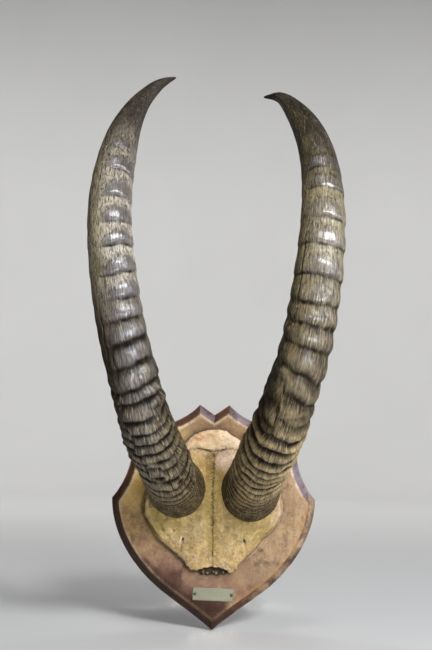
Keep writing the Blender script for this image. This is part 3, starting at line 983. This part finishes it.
def bone_top(x, z, d):
    """Height of the bone above its sawn back, and its colour masks. d is the distance to the rim."""
    ax = np.abs(x)
    ridge = lerp_table([(-68, 8), (-62, 9), (-40, 12.5), (-20, 16.5), (0, 19.0), (25, 21.0), (60, 22.5), (88, 23.5), (104, 18)], z)
    low = ridge + (lerp_table([(-62, 8), (-30, 9), (0, 12)], z) - ridge) * sstep(12, 78, ax)
    seats = ridge + (17.7 - ridge) * sstep(4, 11, ax)
    top = ridge + (13 - ridge) * sstep(8, 62, ax)
    h = low + (seats - low) * sstep(-18, -4, z)
    h = h + (top - h) * sstep(70, 100, z)
    # bosses on either side of the middle, and hollows beyond them
    h = h + 2.0 * (bell(ax, 21, 12) * bell(z, -28, 26)) - 1.2 * bell(ax, 40, 9) * bell(z, -26, 15)
    # swelling under the horn rims
    hc = horn_clear(x, z)
    h = h + 1.9 * np.exp(-(np.clip(hc, 0, None) / 5.0) ** 2) * (z < 30) - 0.5 * bell(hc, 9, 4) * (z < 20)
    # brow rims: a raised lip round each outer edge with a groove inside it
    brow = sstep(52, 66, ax) * sstep(-34, -18, z) * (1 - sstep(24, 40, z))
    h = h + brow * (4.2 * bell(d, 4.8, 2.8) - 2.2 * bell(d, 11.5, 3.4))
    brow_gap = np.where(x < 0, 1.0, 0.45) * brow * bell(d, 1.6 + 1.0 * noise(x / 6, z / 6, 0, 14), 1.1)
    brow_gap = np.maximum(brow_gap, np.where(x < 0, 0.55, 0.2) * brow * bell(d, 11.0 + 1.6 * noise(x / 9, z / 9, 0, 15), 1.2) * sstep(-0.3, 0.3, noise(x / 7, z / 7, 0, 16)))
    # broad unevenness
    h = h + 1.3 * fbm(x / 22, z / 22, 0, 101, 3) + 0.60 * fbm(x / 6, z / 6, 0, 102, 3) + 0.26 * fbm(x / 1.9, z / 1.9, 0, 103, 2)
    crack = np.zeros_like(x)
    # middle suture
    zz = np.clip(z, -64, 78)
    upper = sstep(-30, 0, zz)
    xm = -0.7 + suture(zz, 111, 1.0, 1.9) * (0.35 + 0.75 * upper) + 0.5 * noise(zz / 14, 4, 0, 113)
    on = (z > -63) & (z < 78.5)
    dist = np.abs(x - xm)
    h = h - 1.3 * bell(x, -0.7, 4.6) * on - 0.9 * np.exp(-(dist / 0.8) ** 2) * on
    crack = np.maximum(crack, np.exp(-(dist / (0.74 + 0.36 * upper)) ** 2) * on * (0.30 + 0.62 * sstep(-0.5, 0.4, noise(z / 4.2, 2, 0, 115))))
    # teeth to either side of it
    teeth = sstep(0.05, 0.45, noise(x / 3.2, z / 0.85, 0, 117)) * bell(x, -0.7, 2.9 + 0.9 * noise(z / 9, 8, 0, 119))
    crack = np.maximum(crack, 0.62 * on * teeth * sstep(-38, -12, z))
    # suture across the top
    xs = [-46, -38, -30.7, -24, -17.2, -9, -0.7, 6, 13.4, 21, 28.4, 36, 46]
    zs = [78, 79.5, 81.8, 83.4, 83.6, 81.6, 80.2, 81.6, 83.2, 83.6, 82.6, 80.5, 78]
    zc = np.interp(x, xs, zs) + suture(x, 121, 1.0, 2.1) * 0.75
    on = ax < 46
    dist = np.abs(z - zc)
    h = h - 0.7 * np.exp(-(dist / 0.9) ** 2) * on - 0.4 * bell(z - zc, 0, 4) * on
    seam = np.exp(-(dist / 1.35) ** 2) * on * (0.50 + 0.5 * sstep(-0.6, 0.2, noise(x / 6, 2, 0, 125)))
    seam = np.maximum(seam, 0.5 * on * sstep(0.1, 0.5, noise(x / 0.9, z / 2.4, 0, 127)) * bell(z, zc, 2.2))
    crack = np.maximum(crack, 0.45 * np.exp(-(dist / 0.55) ** 2) * on * sstep(-0.1, 0.4, noise(x / 5, 7, 0, 126)))
    # side branches where the suture meets the horn bases
    for sx, x0, z0, x1, z1 in ((-1, -31, 81, -37, 70), (1, 29, 82, 40, 88)):
        a_, b_ = np.array([x0, z0]), np.array([x1, z1])
        q = distance_to(np.array([a_, b_], float), np.stack([x, z], -1), closed=False)
        seam = np.maximum(seam, 0.6 * np.exp(-(q / 1.1) ** 2))
    # openings for the brow vessels
    pit = np.zeros_like(x)
    lip = np.zeros_like(x)
    for px, pz, rx, rz, tilt_, side_ in ((-37.6, -27.9, 1.25, 2.3, -0.25, 1.0), (38.6, -28.9, 1.35, 2.5, 0.15, 1.0)):
        dx, dz = x - px, z - pz
        a_ = dx * math.cos(tilt_) + dz * math.sin(tilt_)
        b_ = -dx * math.sin(tilt_) + dz * math.cos(tilt_)
        q = np.hypot(a_ / rx, b_ / rz)
        ridge_ = bell(a_, -2.6, 1.2) * bell(b_, -0.6, 5.2)
        h = h - 3.4 * np.exp(-(q ** 4)) + 1.5 * ridge_ - 1.5 * bell(a_, 0.2, 1.7) * sstep(0, -rz, b_) * sstep(-6.0 * rz, -rz, b_)
        pit = np.maximum(pit, 0.92 * np.exp(-(q / 0.95) ** 4))
        pit = np.maximum(pit, 0.40 * bell(a_, 1.0, 0.8) * sstep(2, -3, b_) * sstep(-12, -4, b_))
        lip = np.maximum(lip, ridge_)
    # small vessel holes
    for px, pz, pr in ((-22, -43, 0.7), (17, -38, 0.8), (-49, -18, 0.8), (52, -17, 0.7), (-12, -20, 0.6), (28, -50, 0.8), (-33, -50, 0.7), (60, -6, 0.7), (9, 94, 0.6)):
        q = np.hypot(x - px, z - pz) / pr
        h = h - 1.2 * np.exp(-q ** 2)
        pit = np.maximum(pit, 0.8 * np.exp(-(q / 1.1) ** 2))
    # the broken nose end: an arched edge, and dark splinters lower down beyond it
    arch = lerp_table([(-30, -90), (-21, -67.5), (-16.1, -64.7), (-12, -63.2), (-6, -62.1), (0.3, -61.4), (6.5, -62.0), (12.6, -63.1), (17.5, -65.0), (21.4, -68.5), (30, -90)], x)
    beyond = sstep(0.7, -0.7, z - arch - 0.7 * noise(x / 2.2, 3, 0, 118))
    chips = np.zeros_like(x)
    for px, pz, pr, wx in ((-11.2, -67.6, 1.5, 1.5), (-6.2, -69.6, 0.9, 0.8), (1.2, -67.2, 0.9, 1.9), (4.4, -69.0, 1.3, 0.9), (13.4, -68.4, 1.1, 1.4)):
        chips = np.maximum(chips, np.exp(-(np.hypot((x - px) * wx + 0.7 * noise(x / 1.6, z / 1.6, 0, 119), (z - pz) * 0.9) / pr) ** 2))
    chips = chips * (0.62 + 0.5 * noise(x / 1.3, z / 1.1, 0, 120))
    h = h * (1 - beyond) + beyond * (1.6 + 3.4 * chips)
    gape = beyond * (1 - 0.8 * chips)
    masks = dict(beyond=beyond, gape=gape, lip=lip, chips=np.clip(chips * beyond, 0, 1), crack=np.clip(np.maximum(np.maximum(crack, pit), brow_gap), 0, 1), seam=np.clip(seam, 0, 1), hc=hc, brow=brow)
    return h, masks


def make_cap():
    line = round_line(CAP_LINE, 1.15)
    nl = len(line)
    arc = np.arange(nl) * 1.15
    # the sawn and broken edge is a little ragged, most of all at the nose end
    rag = 0.35 * noise(arc / 5, 0, 0, 131) + 0.25 * noise(arc / 2.1, 0, 3, 132)
    nose = sstep(-52, -60, line[:, 1])
    rag = rag + nose * 0.8 * noise(arc / 2.6, 4, 0, 133)
    nrm = np.roll(line, -1, 0) - np.roll(line, 1, 0)
    nrm = unit(np.stack([-nrm[:, 1], nrm[:, 0]], -1))
    line = line + nrm * rag[:, None]
    step = 1.02
    gx, gz = np.meshgrid(np.arange(-92, 92, step), np.arange(-72, 110, step * 0.87))
    gx = gx + (np.arange(gz.shape[0]) % 2)[:, None] * step / 2
    grid = np.stack([gx.ravel(), gz.ravel()], -1)
    grid = grid + 0.16 * np.stack([noise(grid[:, 0], grid[:, 1], 0, 6), noise(grid[:, 0], grid[:, 1], 9, 7)], -1)
    fine = lambda x0, x1, z0, z1, st: np.stack([a_.ravel() for a_ in np.meshgrid(np.arange(x0, x1, st), np.arange(z0, z1, st * 0.87))], -1)
    strips = [(-6.2, 5.0, -63.5, 77.6, 0.52), (-45, 45, 77.6, 86.4, 0.60), (-44, -32, -44, -20, 0.6), (33, 45, -44, -20, 0.6)]
    for x0, x1, z0, z1, st in strips:
        grid = grid[~((grid[:, 0] > x0 - 0.3) & (grid[:, 0] < x1 + 0.3) & (grid[:, 1] > z0 - 0.3) & (grid[:, 1] < z1 + 0.3))]
    for k_, (x0, x1, z0, z1, st) in enumerate(strips):
        g_ = fine(x0, x1, z0, z1, st)
        grid = np.vstack([grid, g_ + 0.10 * np.stack([noise(g_[:, 0] * 3, g_[:, 1] * 3, k_, 8), noise(g_[:, 0] * 3, g_[:, 1] * 3, k_ + 5, 9)], -1)])
    grid = grid[inside(line, grid)]
    near = distance_to(line, grid)
    # nothing shows well inside the horn bases, so the net is thinned there
    under = horn_clear(grid[:, 0], grid[:, 1]) < -9
    keep = (near > 0.55) & (~under | ((np.arange(len(grid)) % 9) == 0))
    grid = grid[keep]
    p2, tri = fill(line, grid)
    d = distance_to(line, p2)
    h, masks = bone_top(p2[:, 0], p2[:, 1], d)
    edge = 4.6 + 0.7 * noise(p2[:, 0] / 9, p2[:, 1] / 9, 0, 141)
    edge = edge + 1.6 * sstep(92, 104, p2[:, 1])
    edge = edge * (1 - masks["beyond"]) + 1.5 * masks["beyond"]
    soft = np.where(p2[:, 1] > 84, 8.5, 4.2) * (1 - 0.6 * masks["beyond"])
    hh = edge + (h - edge) * (1 - np.exp(-(d + 0.25) / soft))
    top = np.stack([p2[:, 0], CAP_BACK - hh, p2[:, 1]], -1)
    n0 = len(top)
    faces = [tuple(f) for f in tri]
    verts = [top]
    # the rim, turning under to the shield
    rim_ids = [int(np.argmin(np.hypot(p2[:, 0] - a_, p2[:, 1] - b_))) for a_, b_ in line]
    rim_y = top[rim_ids, 1]
    rings = []
    for f, inset in ((0.2, -0.35), (0.45, -0.3), (0.72, 0.3), (0.9, 1.3), (1.0, 2.6)):
        ring = line - nrm_out(line) * inset
        y = rim_y + (CAP_BACK - rim_y) * f
        rings.append(np.stack([ring[:, 0], y + 0.15 * noise(ring[:, 0] / 2, y / 2, ring[:, 1] / 2, 151), ring[:, 1]], -1))
    prev = rim_ids
    count = n0
    for ring in rings:
        verts.append(ring)
        ids = list(range(count, count + nl))
        for i in range(nl):
            j = (i + 1) % nl
            faces.append((prev[i], prev[j], ids[j], ids[i]))
        prev = ids
        count += nl
    mid = np.array([[0.0, CAP_BACK, 15.0]])
    verts.append(mid)
    faces += [(prev[i], prev[(i + 1) % nl], count) for i in range(nl)]
    verts = np.vstack(verts)
    x, z, y = verts[:, 0], verts[:, 2], verts[:, 1]
    extra = len(verts) - n0
    pad = lambda a_, v: np.r_[a_, np.full(extra, v)]
    hc = horn_clear(x, z)
    n1 = fbm(x / 17, z / 17, 0, 161, 4)
    n2 = fbm(x / 6, z / 6, 0, 162, 3)
    rim = np.r_[np.exp(-d / 1.6), np.full(extra, 1.0)]
    olive = 1.25 * bell(x, -1.5, 7.0) * sstep(-62, -30, z) * (1 - sstep(56, 76, z)) * (0.75 + 0.7 * n2)
    olive = olive + 0.75 * np.exp(-(np.clip(hc, 0, None) / 6) ** 2) * sstep(30, 0, z) * np.where(x < 0, 1.0, 0.55)
    olive = olive + 0.85 * bell(x, 19, 9) * bell(z, -14, 13) * (0.8 + 0.8 * n2) + 0.5 * bell(x, -62, 16) * bell(z, -2, 16) + 0.42 * bell(x, 50, 18) * bell(z, -16, 16) * (0.7 + 0.9 * n2)
    olive = olive + 0.40 * np.clip(n1, 0, 1) + 0.30 * np.exp(-(np.clip(hc, 0, None) / 4) ** 2)
    yellow = 0.75 * bell(x, -64, 24) * bell(z, -2, 22) + 0.65 * bell(x, 6, 6) * bell(z, 20, 30) + 0.5 * bell(x, -10, 8) * bell(z, 10, 30) + 0.3 * np.clip(-n1, 0, 1)
    rust = 0.95 * bell(x, -20, 9) * bell(z, 97, 6) + 0.7 * bell(x, -4, 6) * bell(z, 101, 3) + 0.35 * bell(x, 47, 10) * bell(z, -38, 9) + 0.35 * bell(x, -28, 9) * bell(z, 88, 5)
    yellow = yellow + 0.45 * bell(x, 0, 11) * bell(z, 26, 38) + 0.85 * bell(x, 46, 24) * bell(z, -20, 22)
    pale = 0.55 * sstep(1, 3, x) * bell(z, 69, 9) + 0.56 * sstep(72, 88, z) + 0.4 * bell(x, 24, 14) * bell(z, 70, 14) + 0.10 * bell(x, 74, 14) * bell(z, 0, 20) + 0.26 * np.clip(n1 - 0.1, 0, 1) * sstep(10, -20, z)
    pink = 0.60 * sstep(0, 22, x) * sstep(86, 94, z) + 0.85 * sstep(0.5, 2.5, x) * bell(z, 68, 12) + 0.45 * bell(x, 80, 9) * bell(z, 10, 18) + 0.2 * bell(x, 40, 14) * bell(z, -18, 12)
    porous = 0.30 + 0.80 * sstep(0, -35, z) + 0.35 * n2
    crack = pad(masks["crack"], 0.0)
    pale = pale + pad(0.9 * masks["lip"], 0.0)
    # the crevice where the rim meets the board
    crevice = np.r_[np.exp(-(d / 1.25) ** 2) * np.where(p2[:, 0] < -20, 0.85, 0.25) * (0.55 + 0.55 * noise(p2[:, 0] / 5, p2[:, 1] / 5, 0, 164)), np.full(extra, 0.72)]
    crack = np.clip(np.maximum(crack, crevice), 0, 1)
    cl = lambda a_: np.clip(a_, 0, 1)
    fields = dict(olive=cl(olive), yellow=cl(yellow), chips=pad(masks["chips"], 0.0), gape=pad(cl(masks["gape"]), 0.0), rust=cl(rust + 0.25 * rim * (n2 > 0)), pale=cl(pale), pink=cl(pink), porous=cl(porous), crack=crack, seam=pad(masks["seam"], 0.0))
    ob = piece("skull_cap_bone", verts, faces, bone_material(), "skull_cap", fields)
    tidy(ob, 60)
    return ob


cap = make_cap()


# ============================================================================ plate and pins
def make_plate(material):
    w, h, t = PLATE["w"], PLATE["h"], PLATE["t"]
    r = 0.7
    line = []
    for cx_, cz_, a0 in ((w / 2 - r, h / 2 - r, 0), (-w / 2 + r, h / 2 - r, 90), (-w / 2 + r, -h / 2 + r, 180), (w / 2 - r, -h / 2 + r, 270)):
        for a in np.radians(np.linspace(a0, a0 + 90, 7)):
            line.append((cx_ + r * math.cos(a), cz_ + r * math.sin(a)))
    line = resample(np.array(line), 0.8)
    n = len(line)
    out = nrm_out(line)
    verts, faces = [], []
    warp = lambda p: 0.16 * noise(p[:, 0] / 16, p[:, 1] / 9, 0, 171) - 0.12 * bell(np.abs(p[:, 0]), w / 2, 3) * bell(p[:, 1], h / 2, 3)
    for inset, y in ((0.3, 0.0), (0.0, 0.12), (0.0, t - 0.3), (0.1, t - 0.1), (0.3, t)):
        p = line - out * inset
        verts.append(np.stack([p[:, 0], -(y + 0 * p[:, 0]) + warp(p) * (y > 0.1), p[:, 1]], -1))
    for k in range(4):
        for i in range(n):
            j = (i + 1) % n
            faces.append((k * n + i, k * n + j, (k + 1) * n + j, (k + 1) * n + i))
    p = line - out * 0.3
    gx, gz = np.meshgrid(np.arange(-w / 2, w / 2, 0.8), np.arange(-h / 2, h / 2, 0.8))
    g = np.stack([gx.ravel(), gz.ravel()], -1)
    g = g[inside(p, g)]
    g = g[distance_to(p, g) > 0.35]
    q, tri = fill(p, g)
    rim = distance_to(p, q)
    dent = 0.0
    for s_ in (-1, 1):
        dent = dent + 0.22 * bell(np.hypot(q[:, 0] - s_ * PIN_SPREAD, q[:, 1]), 0, 2.6)
    verts.append(np.stack([q[:, 0], -t + warp(q) + dent, q[:, 1]], -1))
    faces += [tuple(v + 5 * n for v in f) for f in tri]
    b, tri = fill(p, np.zeros((0, 2)))
    verts.append(np.stack([b[:, 0], 0 * b[:, 0], b[:, 1]], -1))
    faces += [tuple(v + 5 * n + len(q) for v in f) for f in tri]
    v = np.vstack(verts)
    tarn = np.concatenate([np.full(5 * n, 0.35), np.clip(0.5 * np.exp(-rim / 0.9), 0, 1), np.full(len(b), 0.4)])
    for s_ in (-1, 1):
        tarn = np.maximum(tarn, 0.85 * bell(np.hypot(v[:, 0] - s_ * PIN_SPREAD, v[:, 2]), 0, 2.1))
    tarn = np.clip(tarn, 0, 1)
    c_, s_ = math.cos(PLATE["turn"]), math.sin(PLATE["turn"])
    x, z = v[:, 0] * c_ + v[:, 2] * s_, -v[:, 0] * s_ + v[:, 2] * c_
    v = np.stack([x + PLATE["x"], v[:, 1] - 20.25, z + PLATE["z"]], -1)
    ob = piece("brass_plate", v, faces, material, "name_plate", dict(tarnish=tarn))
    tidy(ob, 40)
    return ob


def make_pin(name, node, side, material):
    """A small round-headed pin, slightly battered."""
    prof = [(0.0, 13.2), (0.32, 13.6), (0.55, 15.0), (0.55, 21.35), (1.62, 21.4), (1.74, 21.6), (1.66, 21.95), (1.38, 22.32), (0.9, 22.6), (0.42, 22.7), (0.0, 22.72)]
    n = 28
    verts, faces = [], []
    for k, (r, y) in enumerate(prof):
        for i in range(n):
            a = 2 * math.pi * i / n
            rr = r * (1 + 0.03 * math.sin(2 * a + side))
            verts.append((rr * math.cos(a), -y + (0.06 * math.cos(a - 1) if y > 22 else 0), rr * math.sin(a)))
    for k in range(len(prof) - 1):
        for i in range(n):
            j = (i + 1) % n
            faces.append((k * n + i, k * n + j, (k + 1) * n + j, (k + 1) * n + i))
    v = np.array(verts)
    cx_ = PLATE["x"] + side * PIN_SPREAD * math.cos(PLATE["turn"])
    cz_ = PLATE["z"] - side * PIN_SPREAD * math.sin(PLATE["turn"])
    v = v + np.array([cx_, 0, cz_])
    tarn = np.clip(0.35 + 0.5 * (np.hypot(v[:, 0] - cx_, v[:, 2] - cz_) > 1.2), 0, 1)
    ob = piece(name, v, faces, material, node, dict(tarnish=tarn))
    tidy(ob, 50)
    return ob


plate = make_plate(brass_material("pale_brass", (0.285, 0.275, 0.195), (0.15, 0.138, 0.08), 0.46))
pin_mat = brass_material("dark_brass", (0.15, 0.13, 0.08), (0.04, 0.035, 0.02), 0.45)
pin_left = make_pin("plate_pin_left_head", "plate_pin_left", -1, pin_mat)
pin_right = make_pin("plate_pin_right_head", "plate_pin_right", 1, pin_mat)


# ============================================================================ stage, light, camera
def stage_material():
    S = Shade("studio_floor")
    o = S.coords()
    col = S.mix(S.noise(o, 2.2, 3, 0.5), (0.58, 0.575, 0.565), (0.62, 0.615, 0.605))
    return S.done(col, 0.9, spec=0.2)


def make_stage():
    """One sheet: a pale floor that curves up far behind."""
    xs = np.linspace(-14, 14, 2)
    prof = [(-12.0, 0.0), (2.7, 0.0)]
    for a in np.radians(np.linspace(0, 90, 25))[1:]:
        prof.append((2.7 + 1.6 * math.sin(a), 1.6 - 1.6 * math.cos(a)))
    prof.append((4.3, 9.0))
    verts, faces = [], []
    for y, z in prof:
        for x in xs:
            verts.append((x, y, z - 0.1405))
    for k in range(len(prof) - 1):
        faces.append((2 * k, 2 * k + 1, 2 * k + 3, 2 * k + 2))
    me = bpy.data.meshes.new("studio_floor")
    me.from_pydata(verts, [], faces)
    me.polygons.foreach_set("use_smooth", [True] * len(me.polygons))
    me.materials.append(stage_material())
    ob = bpy.data.objects.new("studio_floor", me)
    bpy.context.scene.collection.objects.link(ob)


make_stage()


def area(name, place, target, size, power, color, size_y=None, spread=180):
    data = bpy.data.lights.new(name, "AREA")
    data.shape = "ELLIPSE"
    data.size = size
    data.size_y = size_y or size
    data.energy = power
    data.color = color
    data.spread = math.radians(spread)
    ob = bpy.data.objects.new(name, data)
    ob.location = place
    ob.rotation_euler = (Vector(target) - Vector(place)).to_track_quat("-Z", "Y").to_euler()
    bpy.context.scene.collection.objects.link(ob)
    return ob


scene = bpy.context.scene
world = bpy.data.worlds.new("studio")
world.use_nodes = True
world.node_tree.nodes["Background"].inputs[0].default_value = (0.86, 0.89, 0.95, 1)
world.node_tree.nodes["Background"].inputs[1].default_value = 0.06
scene.world = world
area("key", (0.66, -1.50, 1.04), (0, -0.12, 0.18), 0.44, 17.2, (0.95, 0.97, 1.0), spread=130)
area("side", (1.20, -0.95, 0.50), (0.03, -0.12, 0.12), 0.50, 2.8, (0.97, 0.96, 0.94), spread=120)
area("window", (2.0, -0.12, 0.45), (0, -0.06, 0.15), 1.2, 3.2, (0.70, 0.80, 1.0), spread=120)
area("overhead", (-0.05, -0.70, 1.75), (0, -0.10, 0.1), 0.7, 6, (0.95, 0.96, 1.0), size_y=0.5)
area("skull", (0.0, -0.42, 0.95), (-0.003, -0.03, 0.075), 0.10, 0.054, (1.0, 0.93, 0.82), spread=11.5)
area("front_fill", (-0.6, -2.1, 0.35), (0, -0.1, 0.1), 1.0, 2.1, (1.0, 0.92, 0.80))
area("low_front", (0.33, -0.88, -0.02), (0, -0.20, 0.24), 0.22, 1.25, (0.84, 0.91, 1.0), spread=110)
for side in (-1, 1):
    area("far_%s" % ("left" if side < 0 else "right"), (4.2 * side, 1.2, 2.6), (5.2 * side, 4.2, 0.6), 1.6, 70, (1.0, 1.0, 1.0), size_y=1.0)
    area("backdrop_%s" % ("left" if side < 0 else "right"), (1.6 * side, 1.3, 2.2), (0.5 * side, 4.2, 0.6), 1.6, 46, (1.0, 1.0, 1.0), size_y=1.0)

cam_data = bpy.data.cameras.new("camera")
cam_data.sensor_width = 36
cam_data.sensor_fit = "AUTO"
cam_data.lens = 785 * 36 / 650
cam_data.clip_start = 0.02
cam = bpy.data.objects.new("camera", cam_data)
scene.collection.objects.link(cam)
pitch, roll = math.radians(9), math.radians(0.82)
fwd = Vector((0, math.cos(pitch), math.sin(pitch)))
up0 = Vector((0, -math.sin(pitch), math.cos(pitch)))
right = Vector((1, 0, 0)) * math.cos(roll) + up0 * math.sin(roll)
up = Vector((-1, 0, 0)) * math.sin(roll) + up0 * math.cos(roll)
m = Matrix.Identity(4)
for r_, v_ in enumerate((right, up, -fwd)):
    for c_ in range(3):
        m[c_][r_] = v_[c_]
m.translation = Vector((0, -1.0369, 0.08304))
cam.matrix_world = m
scene.camera = cam
scene.view_settings.view_transform = "Standard"
scene.view_settings.look = "None"
scene.view_settings.exposure = 0.0
